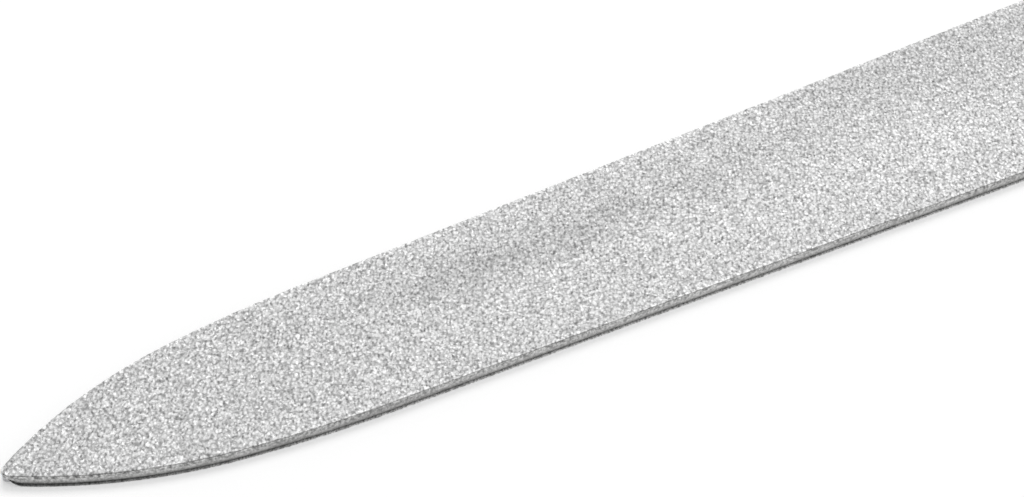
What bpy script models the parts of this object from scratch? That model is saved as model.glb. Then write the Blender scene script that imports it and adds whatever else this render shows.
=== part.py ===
"""Double-sided diamond nail file, built as its separate pieces.

A thin steel strip with a pointed nose is plated with nickel, and a coat of diamond grit is
bonded to each face. Behind the grit the strip steps up, so that its tang lies between two
moulded handle shells while the blade and the handle share one flat underside.

Lengths are in metres. X runs from the point to the handle, Z is up, and the file lies on Z = 0.
"""

import math

import bmesh
import bpy

# Layers of the blade
CORE_THICKNESS = 0.00045
PLATING_WALL = 0.00004
GRIT_DEPTH = 0.000065
BOND_GAP = 0.00001

# Outline of the plated blade, from the nose to the neck
NOSE_RADIUS = 0.0003
NOSE_ANGLE = math.radians(33.5)
POINT_RADIUS = 0.0304
BLEND_ANGLE = math.radians(8.5)
SHOULDER_RADIUS = 0.074
TAPER_ANGLE = math.radians(1.7)
WIDEST_TO_MOUTH = 0.033
WIDEST_RADIUS = 0.090
NECK_ANGLE = math.radians(6.0)
BLADE_LENGTH = 0.112

# Grit faces
GRIT_INSET = 0.00004
BARE_NECK = 0.0095

# Step up from the blade to the tang
STEP_RUN = 0.0042
STEP_TO_MOUTH = 0.0026
STEP_CUTS = 8

# Tang inside the handle
NECK_INSIDE = 0.0035
TANG_WIDTH = 0.0070
TANG_LENGTH = 0.036
TANG_CORNER = 0.0012
HOLE_RADIUS = 0.0016
SHOULDER_TO_HOLE = 0.0085
HOLE_SPACING = 0.019

# Handle, seen from above
HANDLE_LENGTH = 0.058
MOUTH_WALL = 0.0013
WAIST_WIDTH = 0.0119
MOUTH_TO_WAIST = 0.013
BELLY_WIDTH = 0.0143
MOUTH_TO_BELLY = 0.037
END_FULLNESS = 2.3
FRONT_BULGE = 0.0016
FRONT_RUN = 0.0055

# Handle, seen from the side
CROWN_HEIGHT = 0.0029
FRONT_HEIGHT = 0.0013
CROWN_FULLNESS = 2.7
SHELL_FLOOR = 0.0010
UNDERSIDE_RADIUS = 0.00045
SHELL_WALL = 0.0012
FRONT_BLOCK = 0.0047
REAR_WALL = 0.0036
SEAM_GAP = 0.00006
TANG_CLEARANCE = 0.00008

# Bosses and pins that lock the shells through the tang
BOSS_RADIUS = 0.0024
PIN_CLEARANCE = 0.00015
PIN_DEPTH = 0.0006
PIN_END_GAP = 0.0001

# Thumb rest on the upper shell
REST_LENGTH = 0.021
REST_WIDTH = 0.0082
REST_DEPTH = 0.00045
RIB_COUNT = 7
RIB_SPACING = 0.0021
RIB_RADIUS = 0.00035
RIB_WIDTH = 0.0050
RIB_PROUD = 0.00012

# Facets of the curved outlines
NOSE_STEPS = 6
POINT_STEPS = 14
SHOULDER_STEPS = 5
WIDEST_STEPS = 6
HANDLE_STATIONS = 30
CROWN_STEPS = 16
ROUND_SIDES = 32
RIB_RINGS = 8
RIM_SEGMENTS = 3

# Heights that follow from the layers
COAT_STACK = GRIT_DEPTH + BOND_GAP + PLATING_WALL + BOND_GAP
BLADE_MIDDLE = COAT_STACK + CORE_THICKNESS / 2
PLATED_THICKNESS = CORE_THICKNESS + 2 * (BOND_GAP + PLATING_WALL)
CAVITY_THICKNESS = CORE_THICKNESS + 2 * BOND_GAP
SEAM_HEIGHT = SHELL_FLOOR + TANG_CLEARANCE + CORE_THICKNESS / 2
TANG_RISE = SEAM_HEIGHT - BLADE_MIDDLE

# Stations along the file that follow from the lengths
TOTAL_LENGTH = BLADE_LENGTH + HANDLE_LENGTH
NOSE_TO_WIDEST = BLADE_LENGTH - WIDEST_TO_MOUTH
STEP_END = BLADE_LENGTH - FRONT_BULGE - STEP_TO_MOUTH
STEP_START = STEP_END - STEP_RUN
GRIT_END = BLADE_LENGTH - FRONT_BULGE - BARE_NECK
NECK_END = BLADE_LENGTH + NECK_INSIDE
TANG_END = NECK_END + TANG_LENGTH
HOLE_STATIONS = [NECK_END + SHOULDER_TO_HOLE, NECK_END + SHOULDER_TO_HOLE + HOLE_SPACING]
PIN_RADIUS = HOLE_RADIUS - PIN_CLEARANCE

# Working allowances: how far a cutter runs past its piece, the least section, welding, how
# level the normal of an upright face may be, and the angle that still shades smooth
PAST = 0.002
LEAST_SECTION = 1e-5
MERGE = 1e-7
UPRIGHT = 0.5
SMOOTH_UNDER = math.radians(35)


def clear_scene():
    """Remove every object, so that the file starts empty."""
    for item in list(bpy.data.objects):
        bpy.data.objects.remove(item, do_unlink=True)


def new_collection(name):
    collection = bpy.data.collections.new(name)
    bpy.context.scene.collection.children.link(collection)
    return collection


def principled(name, colour, roughness, metallic):
    """A material with one Principled BSDF."""
    material = bpy.data.materials.new(name)
    material.use_nodes = True
    shader = material.node_tree.nodes["Principled BSDF"]
    shader.inputs["Base Color"].default_value = (*colour, 1.0)
    shader.inputs["Roughness"].default_value = roughness
    shader.inputs["Metallic"].default_value = metallic
    return material


def arc(x, y, radius, start, end, steps):
    """Points of an arc that leaves (x, y) with heading start and turns right to heading end."""
    points = []
    for step in range(1, steps + 1):
        heading = start + (end - start) * step / steps
        points.append(
            (
                x + radius * (math.sin(start) - math.sin(heading)),
                y + radius * (math.cos(heading) - math.cos(start)),
                heading,
            )
        )
    return points


def blade_side(offset, end):
    """One side of the blade from the nose to the station end, moved outwards by offset."""
    points = [(0.0, 0.0, math.pi / 2)]
    turns = (
        (NOSE_RADIUS, NOSE_ANGLE, NOSE_STEPS),
        (POINT_RADIUS, BLEND_ANGLE, POINT_STEPS),
        (SHOULDER_RADIUS, TAPER_ANGLE, SHOULDER_STEPS),
    )
    for radius, heading, steps in turns:
        x, y, last = points[-1]
        points += arc(x, y, radius, last, heading, steps)
    x, y, heading = points[-1]
    rise = (NOSE_TO_WIDEST - x) * math.tan(TAPER_ANGLE)
    points.append((NOSE_TO_WIDEST, y + rise, heading))
    points += arc(NOSE_TO_WIDEST, y + rise, WIDEST_RADIUS, heading, -NECK_ANGLE, WIDEST_STEPS)
    x, y, heading = points[-1]
    points.append((end, y - (end - x) * math.tan(NECK_ANGLE), heading))
    return [
        (px - offset * math.sin(turn), py + offset * math.cos(turn)) for px, py, turn in points
    ]


def blade_half_width(station):
    """Half width of the plated neck at a station behind the widest place."""
    return blade_side(0.0, station)[-1][1]


def tang_side(offset, end):
    """One side of the tang from the shoulder to its rounded end, moved outwards by offset."""
    half = TANG_WIDTH / 2 + offset
    corner = TANG_CORNER + offset
    points = [(NECK_END, half)]
    points += [
        (x, y)
        for x, y, _ in arc(end + offset - corner, half, corner, 0.0, -math.pi / 2, NOSE_STEPS)
    ]
    points.insert(1, (end + offset - corner, half))
    return points


def sheet(name, side, thickness, height):
    """A flat solid whose outline is side and its mirror image, centred on height."""
    both = side + [(x, -y) for x, y in reversed(side) if abs(y) > MERGE]
    curve = bpy.data.curves.new(name, "CURVE")
    curve.dimensions = "2D"
    curve.fill_mode = "BOTH"
    curve.extrude = thickness / 2
    spline = curve.splines.new("POLY")
    spline.points.add(len(both) - 1)
    for point, (x, y) in zip(spline.points, both):
        point.co = (x, y, 0.0, 1.0)
    spline.use_cyclic_u = True
    return curve_to_mesh(name, curve, height)


def curve_to_mesh(name, curve, height):
    """Turn a filled curve into a welded mesh object at its height."""
    outline = bpy.data.objects.new(name + "_outline", curve)
    bpy.context.scene.collection.objects.link(outline)
    outline.location.z = height
    graph = bpy.context.evaluated_depsgraph_get()
    mesh = bpy.data.meshes.new_from_object(outline.evaluated_get(graph))
    solid = bmesh.new()
    solid.from_mesh(mesh)
    bmesh.ops.remove_doubles(solid, verts=solid.verts, dist=MERGE)
    bmesh.ops.recalc_face_normals(solid, faces=solid.faces)
    solid.to_mesh(mesh)
    solid.free()
    mesh.name = name
    piece = bpy.data.objects.new(name, mesh)
    piece.matrix_world = outline.matrix_world
    bpy.data.objects.remove(outline, do_unlink=True)
    bpy.data.curves.remove(curve)
    return piece


def step_height(station):
    """How far the strip has stepped up at a station."""
    share = min(max((station - STEP_START) / STEP_RUN, 0.0), 1.0)
    return TANG_RISE * (1 - math.cos(math.pi * share)) / 2


def step_up(piece):
    """Cut the sheet across its step, then lift it into an easy double bend."""
    solid = bmesh.new()
    solid.from_mesh(piece.data)
    for cut in range(STEP_CUTS + 1):
        bmesh.ops.bisect_plane(
            solid,
            geom=solid.verts[:] + solid.edges[:] + solid.faces[:],
            dist=MERGE,
            plane_co=(STEP_START + STEP_RUN * cut / STEP_CUTS, 0, 0),
            plane_no=(1, 0, 0),
        )
    for vertex in solid.verts:
        vertex.co.z += step_height(vertex.co.x)
    solid.to_mesh(piece.data)
    solid.free()


def ease(share):
    """A smooth climb from 0 to 1."""
    return (1 - math.cos(math.pi * min(max(share, 0.0), 1.0))) / 2


def end_rounding(run):
    """How the handle closes behind its belly, from 1 at the belly to 0 at the end."""
    share = max((run - MOUTH_TO_BELLY) / (HANDLE_LENGTH - MOUTH_TO_BELLY), 0.0)
    return (1 - min(share, 1.0) ** END_FULLNESS) ** (1 / END_FULLNESS)


def handle_half_width(run):
    """Half width of the handle at a run behind its mouth."""
    mouth = blade_half_width(BLADE_LENGTH) + MOUTH_WALL
    waist = WAIST_WIDTH / 2
    belly = BELLY_WIDTH / 2
    if run < MOUTH_TO_WAIST:
        return mouth + (waist - mouth) * ease(run / MOUTH_TO_WAIST)
    climb = ease((run - MOUTH_TO_WAIST) / (MOUTH_TO_BELLY - MOUTH_TO_WAIST))
    return (waist + (belly - waist) * climb) * end_rounding(run)


def crown(run):
    """Height of the upper shell above the seam at a run behind the mouth."""
    share = min(run / FRONT_RUN, 1.0)
    front = FRONT_HEIGHT + (CROWN_HEIGHT - FRONT_HEIGHT) * math.sqrt(1 - (1 - share) ** 2)
    return front * end_rounding(run)


def handle_stations(first, last, count):
    """Runs along the handle, closer together towards both ends."""
    return [first + (last - first) * ease(step / count) for step in range(count + 1)]


def front_shift(run, across):
    """How far the bowed front edge moves a point towards the blade."""
    fade = 1 - ease(run / MOUTH_TO_WAIST)
    return FRONT_BULGE * fade * (1 - min(abs(across), 1.0) ** 2)


def handle_side():
    """One side of the handle's outline, from the middle of its bowed front edge to its end."""
    mouth = handle_half_width(0.0)
    points = []
    for step in range(NOSE_STEPS):
        across = step / NOSE_STEPS
        points.append((BLADE_LENGTH - front_shift(0.0, across), mouth * across))
    for run in handle_stations(0.0, HANDLE_LENGTH, HANDLE_STATIONS):
        points.append((BLADE_LENGTH + run, handle_half_width(run)))
    return points


def crowned_body(name, first, last, inset, floor):
    """A solid under the crown from run first to run last, inset from the outer surface."""
    solid = bmesh.new()
    loops = []
    for run in handle_stations(first, last, HANDLE_STATIONS):
        half = max(handle_half_width(run) - inset, LEAST_SECTION)
        height = max(crown(run) - inset, LEAST_SECTION)
        ring = []
        for step in range(CROWN_STEPS + 1):
            turn = math.pi * step / CROWN_STEPS
            power = 2 / CROWN_FULLNESS
            across = math.copysign(abs(math.cos(turn)) ** power, math.cos(turn))
            lift = abs(math.sin(turn)) ** power
            x = BLADE_LENGTH + run - front_shift(run, across)
            ring.append(solid.verts.new((x, half * across, SEAM_HEIGHT + height * lift)))
        for across in (-1, 1):
            x = BLADE_LENGTH + run - front_shift(run, across)
            ring.append(solid.verts.new((x, half * across, floor)))
        loops.append([solid.edges.new(pair) for pair in zip(ring, ring[1:] + ring[:1])])
    for near, far in zip(loops, loops[1:]):
        bmesh.ops.bridge_loops(solid, edges=near + far)
    bmesh.ops.edgeloop_fill(solid, edges=loops[0])
    bmesh.ops.edgeloop_fill(solid, edges=loops[-1])
    bmesh.ops.recalc_face_normals(solid, faces=solid.faces)
    mesh = bpy.data.meshes.new(name)
    solid.to_mesh(mesh)
    solid.free()
    return bpy.data.objects.new(name, mesh)


def cylinder(name, radius, station, low, high):
    """An upright cylinder at a station, between two heights."""
    mesh = bpy.data.meshes.new(name)
    solid = bmesh.new()
    bmesh.ops.create_cone(
        solid,
        cap_ends=True,
        segments=ROUND_SIDES,
        radius1=radius,
        radius2=radius,
        depth=high - low,
    )
    solid.to_mesh(mesh)
    solid.free()
    piece = bpy.data.objects.new(name, mesh)
    piece.location = (station, 0, (low + high) / 2)
    return piece


def boolean(piece, tool, operation, helpers, datum):
    """Cut or join a helper shape, which stays hidden in its own collection."""
    place(tool, helpers, datum)
    tool.hide_render = True
    tool.display_type = "WIRE"
    modifier = piece.modifiers.new(tool.name, "BOOLEAN")
    modifier.operation = operation
    modifier.object = tool
    modifier.solver = "EXACT"


def place(piece, collection, datum):
    collection.objects.link(piece)
    piece.parent = datum


def finish(piece, material):
    """Give a piece its material, and shade it smooth except at its real edges."""
    piece.data.materials.append(material)
    piece.data.shade_smooth()
    piece.data.set_sharp_from_angle(angle=SMOOTH_UNDER)


def make_steel_core(parts, helpers, datum):
    """The stamped strip: blade, stepped neck and tang with two locking holes."""
    shrink = -(PLATING_WALL + BOND_GAP)
    side = blade_side(shrink, NECK_END) + tang_side(0.0, TANG_END)
    core = sheet("steel_core", side, CORE_THICKNESS, BLADE_MIDDLE)
    step_up(core)
    place(core, parts, datum)
    for number, station in enumerate(HOLE_STATIONS, 1):
        reach = CORE_THICKNESS
        hole = cylinder(
            f"tang_hole_{number}", HOLE_RADIUS, station, SEAM_HEIGHT - reach, SEAM_HEIGHT + reach
        )
        boolean(core, hole, "DIFFERENCE", helpers, datum)
    finish(core, principled("spring_steel", (0.46, 0.46, 0.47), 0.35, 1.0))


def make_plating(parts, helpers, datum):
    """The nickel that wraps the blade and its edges, open at the tang."""
    end = BLADE_LENGTH + NECK_INSIDE / 2
    plating = sheet("nickel_plating", blade_side(0.0, end), PLATED_THICKNESS, BLADE_MIDDLE)
    step_up(plating)
    place(plating, parts, datum)
    inside = blade_side(-PLATING_WALL, end + PAST)
    cavity = sheet("plating_cavity", inside, CAVITY_THICKNESS, BLADE_MIDDLE)
    step_up(cavity)
    boolean(plating, cavity, "DIFFERENCE", helpers, datum)
    finish(plating, principled("bright_nickel", (0.66, 0.65, 0.63), 0.28, 1.0))


def make_grit(name, height, material, parts, datum):
    """One coat of diamond grit, a little inside the blade's outline."""
    coat = sheet(name, blade_side(-GRIT_INSET, GRIT_END), GRIT_DEPTH, height)
    place(coat, parts, datum)
    finish(coat, material)


def neck_slot(name):
    """The opening through both shells' front walls that the plated neck passes through."""
    side = blade_side(TANG_CLEARANCE, NECK_END + TANG_CLEARANCE)
    thickness = PLATED_THICKNESS + 2 * TANG_CLEARANCE
    slot = sheet(name, side, thickness, BLADE_MIDDLE)
    step_up(slot)
    return slot


def tang_pocket(name, low, high):
    """The space that the tang lies in, between two heights."""
    start = (NECK_END - PAST / 2, TANG_WIDTH / 2 + TANG_CLEARANCE)
    side = [start] + tang_side(TANG_CLEARANCE, TANG_END)[1:]
    return sheet(name, side, high - low, (low + high) / 2)


def make_upper_shell(parts, helpers, datum):
    """The crowned upper shell with its thumb rest, bosses and locking pins."""
    seam = SEAM_HEIGHT + SEAM_GAP / 2
    shell = crowned_body("handle_upper_shell", 0.0, HANDLE_LENGTH, 0.0, seam)
    place(shell, parts, datum)
    middle = (HOLE_STATIONS[0] + HOLE_STATIONS[1]) / 2
    make_thumb_rest(shell, middle, helpers, datum)
    rear = HANDLE_LENGTH - REAR_WALL
    hollow = crowned_body("upper_hollow", FRONT_BLOCK, rear, SHELL_WALL, SEAM_HEIGHT - PAST)
    boolean(shell, hollow, "DIFFERENCE", helpers, datum)
    boolean(shell, neck_slot("upper_neck_slot"), "DIFFERENCE", helpers, datum)
    pocket = tang_pocket("upper_tang_pocket", SEAM_HEIGHT - PAST, tang_top() + TANG_CLEARANCE)
    boolean(shell, pocket, "DIFFERENCE", helpers, datum)
    for number, station in enumerate(HOLE_STATIONS, 1):
        ceiling = SEAM_HEIGHT + crown(station - BLADE_LENGTH) - SHELL_WALL / 2 - REST_DEPTH
        boss = cylinder(
            f"boss_{number}", BOSS_RADIUS, station, tang_top() + TANG_CLEARANCE, ceiling
        )
        boolean(shell, boss, "UNION", helpers, datum)
        pin = cylinder(f"pin_{number}", PIN_RADIUS, station, pin_end(), ceiling)
        boolean(shell, pin, "UNION", helpers, datum)
    finish(shell, principled("handle_plastic", (0.045, 0.048, 0.054), 0.42, 0.0))


def tang_top():
    return SEAM_HEIGHT + CORE_THICKNESS / 2


def pin_end():
    """Height of the pins' lower ends, inside the lower shell's sockets."""
    return SEAM_HEIGHT - CORE_THICKNESS / 2 - PIN_DEPTH


def make_thumb_rest(shell, middle, helpers, datum):
    """A shallow oval dish with low cross ribs, centred over the tang's holes."""
    top = SEAM_HEIGHT + crown(middle - BLADE_LENGTH)
    dish_mesh = bpy.data.meshes.new("thumb_dish")
    solid = bmesh.new()
    bmesh.ops.create_uvsphere(solid, u_segments=ROUND_SIDES, v_segments=CROWN_STEPS, radius=1.0)
    bmesh.ops.scale(solid, vec=(REST_LENGTH / 2, REST_WIDTH / 2, REST_DEPTH), verts=solid.verts)
    solid.to_mesh(dish_mesh)
    solid.free()
    dish = bpy.data.objects.new("thumb_dish", dish_mesh)
    dish.location = (middle, 0, top)
    boolean(shell, dish, "DIFFERENCE", helpers, datum)
    for number in range(RIB_COUNT):
        away = (number - (RIB_COUNT - 1) / 2) * RIB_SPACING
        depth = REST_DEPTH * math.sqrt(1 - (2 * away / REST_LENGTH) ** 2)
        rib_mesh = bpy.data.meshes.new(f"thumb_rib_{number + 1}")
        solid = bmesh.new()
        bmesh.ops.create_uvsphere(solid, u_segments=CROWN_STEPS, v_segments=RIB_RINGS, radius=1.0)
        size = (RIB_RADIUS, RIB_WIDTH / 2, depth + RIB_PROUD)
        bmesh.ops.scale(solid, vec=size, verts=solid.verts)
        solid.to_mesh(rib_mesh)
        solid.free()
        rib = bpy.data.objects.new(f"thumb_rib_{number + 1}", rib_mesh)
        rib.location = (middle + away, 0, top - depth)
        boolean(shell, rib, "UNION", helpers, datum)


def make_lower_shell(parts, helpers, datum):
    """The flat lower shell with a pocket for the tang and two pin sockets."""
    top = SEAM_HEIGHT - SEAM_GAP / 2
    shell = sheet("handle_lower_shell", handle_side(), top, top / 2)
    round_underside(shell)
    place(shell, parts, datum)
    floor = SEAM_HEIGHT - CORE_THICKNESS / 2 - TANG_CLEARANCE
    boolean(shell, neck_slot("lower_neck_slot"), "DIFFERENCE", helpers, datum)
    pocket = tang_pocket("lower_tang_pocket", floor, SEAM_HEIGHT + PAST)
    boolean(shell, pocket, "DIFFERENCE", helpers, datum)
    for number, station in enumerate(HOLE_STATIONS, 1):
        bottom = pin_end() - PIN_END_GAP
        radius = PIN_RADIUS + PIN_CLEARANCE
        socket = cylinder(f"socket_{number}", radius, station, bottom, SEAM_HEIGHT + PAST)
        boolean(shell, socket, "DIFFERENCE", helpers, datum)
    finish(shell, principled("handle_plastic_lower", (0.045, 0.048, 0.054), 0.42, 0.0))


def round_underside(shell):
    """Round the edge between the shell's flat underside and its side."""
    solid = bmesh.new()
    solid.from_mesh(shell.data)
    low = min(vertex.co.z for vertex in solid.verts)
    rim = [
        edge
        for edge in solid.edges
        if all(abs(vertex.co.z - low) < MERGE for vertex in edge.verts)
        and any(abs(face.normal.z) < UPRIGHT for face in edge.link_faces)
    ]
    bmesh.ops.bevel(
        solid,
        geom=rim,
        offset=UNDERSIDE_RADIUS,
        segments=RIM_SEGMENTS,
        profile=0.5,
        affect="EDGES",
        clamp_overlap=True,
    )
    solid.to_mesh(shell.data)
    solid.free()


def main():
    clear_scene()
    parts = new_collection("diamond_nail_file")
    helpers = new_collection("nail_file_cutters")
    datum = bpy.data.objects.new("nose_datum", None)
    parts.objects.link(datum)
    datum.location = (-TOTAL_LENGTH / 2, 0, 0)
    make_steel_core(parts, helpers, datum)
    make_plating(parts, helpers, datum)
    coarse = principled("coarse_diamond_grit", (0.60, 0.60, 0.60), 0.55, 0.8)
    fine = principled("fine_diamond_grit", (0.62, 0.62, 0.62), 0.50, 0.8)
    top_face = 2 * BLADE_MIDDLE
    make_grit("diamond_grit_upper", top_face - GRIT_DEPTH / 2, coarse, parts, datum)
    make_grit("diamond_grit_lower", GRIT_DEPTH / 2, fine, parts, datum)
    make_upper_shell(parts, helpers, datum)
    make_lower_shell(parts, helpers, datum)


main()
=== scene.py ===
"""Diamond nail file: its visible surfaces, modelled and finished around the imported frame.

Run as a script, this registers the operators, makes every piece in order and sets the stage.
Lengths are in metres. X runs from the point to the handle, Y goes across the file and Z is up.
"""

import math

import bpy
import numpy as np
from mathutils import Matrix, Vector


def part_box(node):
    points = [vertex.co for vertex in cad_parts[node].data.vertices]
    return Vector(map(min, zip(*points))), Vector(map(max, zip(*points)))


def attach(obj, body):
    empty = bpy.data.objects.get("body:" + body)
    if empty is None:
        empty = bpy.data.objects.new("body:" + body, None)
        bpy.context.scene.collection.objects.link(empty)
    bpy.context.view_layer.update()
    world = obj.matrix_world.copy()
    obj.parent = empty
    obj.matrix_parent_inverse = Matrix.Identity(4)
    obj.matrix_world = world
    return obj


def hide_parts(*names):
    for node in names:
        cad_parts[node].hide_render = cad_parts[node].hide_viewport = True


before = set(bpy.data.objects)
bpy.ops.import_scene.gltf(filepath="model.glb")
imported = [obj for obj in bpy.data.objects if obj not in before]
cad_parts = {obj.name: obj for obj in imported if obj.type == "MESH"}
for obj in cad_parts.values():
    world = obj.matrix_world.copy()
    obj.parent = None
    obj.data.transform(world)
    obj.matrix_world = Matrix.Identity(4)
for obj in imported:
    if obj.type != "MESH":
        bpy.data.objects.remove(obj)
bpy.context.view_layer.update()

bl_info = {
    "name": "Diamond nail file",
    "version": (1, 0, 0),
    "blender": (4, 5, 0),
    "location": "3D View > Sidebar > Nail file",
    "description": "Models and finishes the surfaces of a diamond nail file",
    "category": "Mesh",
}

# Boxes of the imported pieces
STRIP_LOW, STRIP_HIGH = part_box("nickel_plating")
UPPER_COAT_LOW, UPPER_COAT_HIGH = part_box("diamond_grit_upper")
LOWER_COAT_LOW, LOWER_COAT_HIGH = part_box("diamond_grit_lower")
TANG_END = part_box("steel_core")[1].x
HANDLE_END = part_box("handle_upper_shell")[1].x
HANDLE_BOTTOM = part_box("handle_lower_shell")[0].z

# Outline of the plated blade, from the nose to the neck
NOSE_X = STRIP_LOW.x
NOSE_RADIUS = 0.0005
NOSE_ANGLE = math.radians(32.92)
POINT_RADIUS = 0.0304
BLEND_ANGLE = math.radians(8.5)
SHOULDER_RADIUS = 0.074
TAPER_ANGLE = math.radians(1.7)
NOSE_TO_WIDEST = 0.079
WIDEST_RADIUS = 0.090
NECK_ANGLE = math.radians(6.0)
ARC_STEPS = (12, 60, 30, 30)

# Layers of the blade
CORE_THICKNESS = 0.00045
PLATING_WALL = 0.00004
BOND_GAP = 0.00001
GRIT_INSET = 0.00004
LOWER_PROUD = 0.00010
PLATED_THICKNESS = CORE_THICKNESS + 2 * (PLATING_WALL + BOND_GAP)
BLADE_MIDDLE = STRIP_LOW.z + PLATED_THICKNESS / 2

# The point's underside, eased up from the table, and the lower coat's nose, pulled back
POINT_RUN = 0.0009
POINT_LIFT = 0.88
POINT_PULL = 0.00016
POINT_CUTS = 6

# The handle's mouth, and the strip's step up to the tang in front of it
BLADE_LENGTH = 0.112
MOUTH_X = NOSE_X + BLADE_LENGTH
FRONT_BULGE = 0.0016
STEP_RUN = 0.0042
STEP_TO_FRONT = 0.0026
STEP_END = MOUTH_X - FRONT_BULGE - STEP_TO_FRONT
STEP_START = STEP_END - STEP_RUN
STEP_CUTS = 12
TANG_RISE = STRIP_HIGH.z - STRIP_LOW.z - PLATED_THICKNESS

# Tang and the pins that lock the shells through it
NECK_IN_HANDLE = 0.0035
NECK_END = MOUTH_X + NECK_IN_HANDLE
TANG_WIDTH = 0.0070
TANG_CORNER = 0.0012
TANG_CLEARANCE = 0.00008
NECK_TO_HOLES = (0.0085, 0.0275)
HOLES_X = tuple(NECK_END + run for run in NECK_TO_HOLES)
PIN_RADIUS = 0.00145
PIN_CLEARANCE = 0.00015
PIN_DEPTH = 0.0006
PIN_END_GAP = 0.0001
BOSS_RADIUS = 0.0024

# Handle, seen from above and from the side
HANDLE_LENGTH = HANDLE_END - MOUTH_X
MOUTH_WALL = 0.0013
WAIST_WIDTH = 0.0119
MOUTH_TO_WAIST = 0.013
BELLY_WIDTH = 0.0143
MOUTH_TO_BELLY = 0.037
END_FULLNESS = 2.3
FRONT_RUN = 0.0055
CROWN_HEIGHT = 0.0029
FRONT_HEIGHT = 0.0013
CROWN_FULLNESS = 2.7
SHELL_WALL = 0.0012
FRONT_BLOCK = 0.0047
REAR_WALL = 0.0036
SEAM_HEIGHT = BLADE_MIDDLE + TANG_RISE
SEAM_GAP = 0.00006
UNDERSIDE_RADIUS = 0.00045
TANG_TOP = SEAM_HEIGHT + CORE_THICKNESS / 2
TANG_BOTTOM = SEAM_HEIGHT - CORE_THICKNESS / 2

# Thumb rest
REST_MIDDLE = (HOLES_X[0] + HOLES_X[1]) / 2
REST_LENGTH = 0.021
REST_WIDTH = 0.0082
REST_DEPTH = 0.00045
RIB_COUNT = 7
RIB_SPACING = 0.0021
RIB_RADIUS = 0.00035
RIB_WIDTH = 0.0050
RIB_PROUD = 0.00012

# Fineness of the meshes: segments of roundings, steps across, runs along the handle, pitches
ROUND_SIDES = 48
EDGE_SEGMENTS = 4
UNDERSIDE_SEGMENTS = 6
CHAMFER_SEGMENTS = 1
CROWN_SAMPLES = 40
CROWN_STEPS = 96
FRONT_RUNS = 25
REAR_RUNS = 70
PLAIN_PITCH = 0.0004
REST_PITCH = 0.0001
HOLLOW_STEPS = 32
HOLLOW_RUNS = 40
BOW_STEPS = 8
CORNER_STEPS = 8
SIDE_STEPS = 90
STRIP_SMOOTHING = math.radians(35)
SHELL_SMOOTHING = math.radians(32)

# Crystals in the mesh: seeds of their scatter, its share of the grain, and the rim's of the relief
COARSE_SEED = 11
FINE_SEED = 12
CRYSTAL_SCATTER = 0.3
RIM_RELIEF = 0.5

# The coats' texture map: strips that it is folded into, and the margin round each
MAP_STRIPS = 3
MAP_MARGIN = 0.0004

# Roughness and metallic share of each finish
GRIT_BASE = (0.45, 0.6)
NICKEL_BASE = (0.40, 1.0)
STEEL_BASE = (0.36, 1.0)
PLASTIC_BASE = (0.45, 0.0)
FLOOR_BASE = (0.9, 0.0)

# Noise of the finishes: width of a blot in metres, detail and roughness
BLOTS = (0.0045, 3.0, 0.5)
SPECKS = (0.00042, 2.0, 0.6)
NICKEL_LINES = (0.00010, 2.0, 0.5)
NICKEL_STAINS = (0.0020, 4.0, 0.6)
NICKEL_PITS = (0.00018, 2.0, 0.6)
STEEL_LINES = (0.00012, 3.0, 0.5)
PLASTIC_SPARK = (0.00016, 2.0, 0.6)
PLASTIC_FLOW = (0.0060, 3.0, 0.5)
PLASTIC_RUB = (0.0016, 5.0, 0.7)

# How far patterns are drawn out along each axis, and the crystals' turn about Z
NICKEL_DRAW = (25.0, 1.0, 1.0)
STEEL_DRAW = (50.0, 1.0, 1.0)
FLOW_DRAW = (2.5, 1.0, 1.0)
CRYSTAL_DRAW = (1.0, 1.54, 1.0)
CRYSTAL_TURN = math.radians(-30.0)

# Crystals in the finish: widths in metres, and the rest in widths of a crystal
COARSE_CRYSTAL = 0.000182
FINE_CRYSTAL = 0.00014
SHAKE_SIZE = 2.0
SHAKE_REACH = 1.2
SPARK_WIDTH = 0.6
PIT_WIDTH = 1.15
DOME_HEIGHT = 0.12

# Tones of the crystals: a pattern's low and high value, and the tone at each
# DOME_TONES paint light on each crystal's top and shade in the gap round it
DOME_TONES = (0.28, 0.72, 1.08, 0.60)
CELL_TONES = (0.0, 0.7, 0.94, 1.05)
SPARK_TONES = (0.0, 0.7, 0.92, 1.03)
SPARK_ROUGHNESS = (0.0, 1.0, 0.34, 0.58)
# PIT_REACH and PIT_DEPTHS paint shade into small pits, each with its own depth
PIT_REACH = (0.05, 0.45)
PIT_DEPTHS = (0.0, 0.9, 0.34, 1.0)
PIT_SURROUND = 1.03

# The range that soft noise mostly lies in, and tones and roughness at its two ends
SOFT_RANGE = (0.3, 0.7)
BLOT_TONES = (0.97, 1.03)
PATCH_TONES = (1.3, 0.5)
NICKEL_LINE_TONES = (0.92, 1.06)
NICKEL_STAIN_TONES = (0.90, 1.07)
NICKEL_ROUGHNESS = (0.38, 0.52)
STEEL_TONES = (0.85, 1.12)
STEEL_ROUGHNESS = (0.28, 0.44)
FLOW_TONES = (0.90, 1.12)
PLASTIC_TONES = (0.92, 1.10)
PLASTIC_ROUGHNESS = (-0.03, 0.04)

# Rubbed patches of the plastic: noise where they are none and full, and the roughness at each
RUB_ROUGHNESS = (0.35, 0.7, 0.50, 0.38)

# Bump: distance in metres and strength, and the strength alone for the crystals' domes
CRYSTAL_BUMP = 0.5
NICKEL_BUMP = (0.00001, 0.5)
STEEL_BUMP = (0.00001, 0.4)
PLASTIC_BUMP = (0.00002, 0.5)

# Soft darker and lighter patches on the upper face: middle x, y, reach x, y and the tone there
PATCHES = (
    (-0.049, 0.0020, 0.024, 0.0026, 0.80),
    (-0.023, -0.0028, 0.024, 0.0060, 1.14),
    (-0.020, 0.0052, 0.018, 0.0040, 0.91),
)

# How far in from its rim a coat takes the rim's tone
RIM_REACH = 0.00020

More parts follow.
